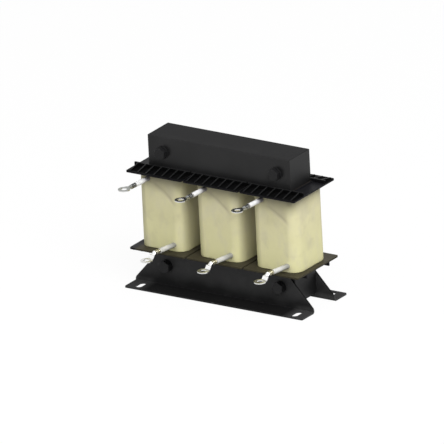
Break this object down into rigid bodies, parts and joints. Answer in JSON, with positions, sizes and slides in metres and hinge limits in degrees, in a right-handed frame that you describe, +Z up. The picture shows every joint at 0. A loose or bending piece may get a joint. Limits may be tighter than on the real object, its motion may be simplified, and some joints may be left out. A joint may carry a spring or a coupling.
{
  "type": "three-phase line reactor",
  "caption": "Three-phase line reactor: laminated core, coils in cream wrap on ribbed black bobbins, short lug-ended leads in front and slotted feet on folded brackets.",
  "frame": {"origin": "middle of the footprint of the two feet, at ground level, under the centre of the middle limb", "axes": "+X along the yokes to the right of the front view, +Y from the lead side to the rear, +Z up along the limbs"},
  "size_m": [0.188, 0.1017, 0.1415],
  "materials": {
    "core_paint": "satin black varnish over steel laminations",
    "bracket_paint": "satin black paint on folded steel",
    "bobbin_plastic": "moulded black glass-filled nylon",
    "coil_wrap": "cream insulating paper",
    "copper": "enamelled copper",
    "sleeve_white": "white insulating sleeve",
    "tinned_lug": "bright tin plating",
    "black_fastener": "black oxide",
    "gap_laminate": "brown laminate",
    "insulator": "natural insulating tube"
  },
  "bodies": {
    "root": {"bobbin_left": "bobbin_plastic", "bobbin_middle": "bobbin_plastic", "bobbin_right": "bobbin_plastic", "bolt_insulator_lower_left": "insulator", "bolt_insulator_lower_right": "insulator", "bolt_insulator_upper_left": "insulator", "bolt_insulator_upper_right": "insulator", "coil_wrap_left": "coil_wrap", "coil_wrap_middle": "coil_wrap", "coil_wrap_right": "coil_wrap", "front_bracket": "bracket_paint", "gap_sheet_left": "gap_laminate", "gap_sheet_middle": "gap_laminate", "gap_sheet_right": "gap_laminate", "lead_sleeve_lower_left": "sleeve_white", "lead_sleeve_lower_middle": "sleeve_white", "lead_sleeve_lower_right": "sleeve_white", "lead_sleeve_upper_left": "sleeve_white", "lead_sleeve_upper_middle": "sleeve_white", "lead_sleeve_upper_right": "sleeve_white", "lower_core": "core_paint", "rear_bracket": "bracket_paint", "ring_lug_lower_left": "tinned_lug", "ring_lug_lower_middle": "tinned_lug", "ring_lug_lower_right": "tinned_lug", "ring_lug_upper_left": "tinned_lug", "ring_lug_upper_middle": "tinned_lug", "ring_lug_upper_right": "tinned_lug", "upper_yoke": "core_paint", "washer_front_lower_left": "black_fastener", "washer_front_lower_right": "black_fastener", "washer_front_upper_left": "black_fastener", "washer_front_upper_right": "black_fastener", "washer_rear_lower_left": "black_fastener", "washer_rear_lower_right": "black_fastener", "washer_rear_upper_left": "black_fastener", "washer_rear_upper_right": "black_fastener", "winding_left": "copper", "winding_middle": "copper", "winding_right": "copper", "yoke_bolt_lower_left": "black_fastener", "yoke_bolt_lower_right": "black_fastener", "yoke_bolt_upper_left": "black_fastener", "yoke_bolt_upper_right": "black_fastener", "yoke_nut_lower_left": "black_fastener", "yoke_nut_lower_right": "black_fastener", "yoke_nut_upper_left": "black_fastener", "yoke_nut_upper_right": "black_fastener"}
  },
  "joints": []
}
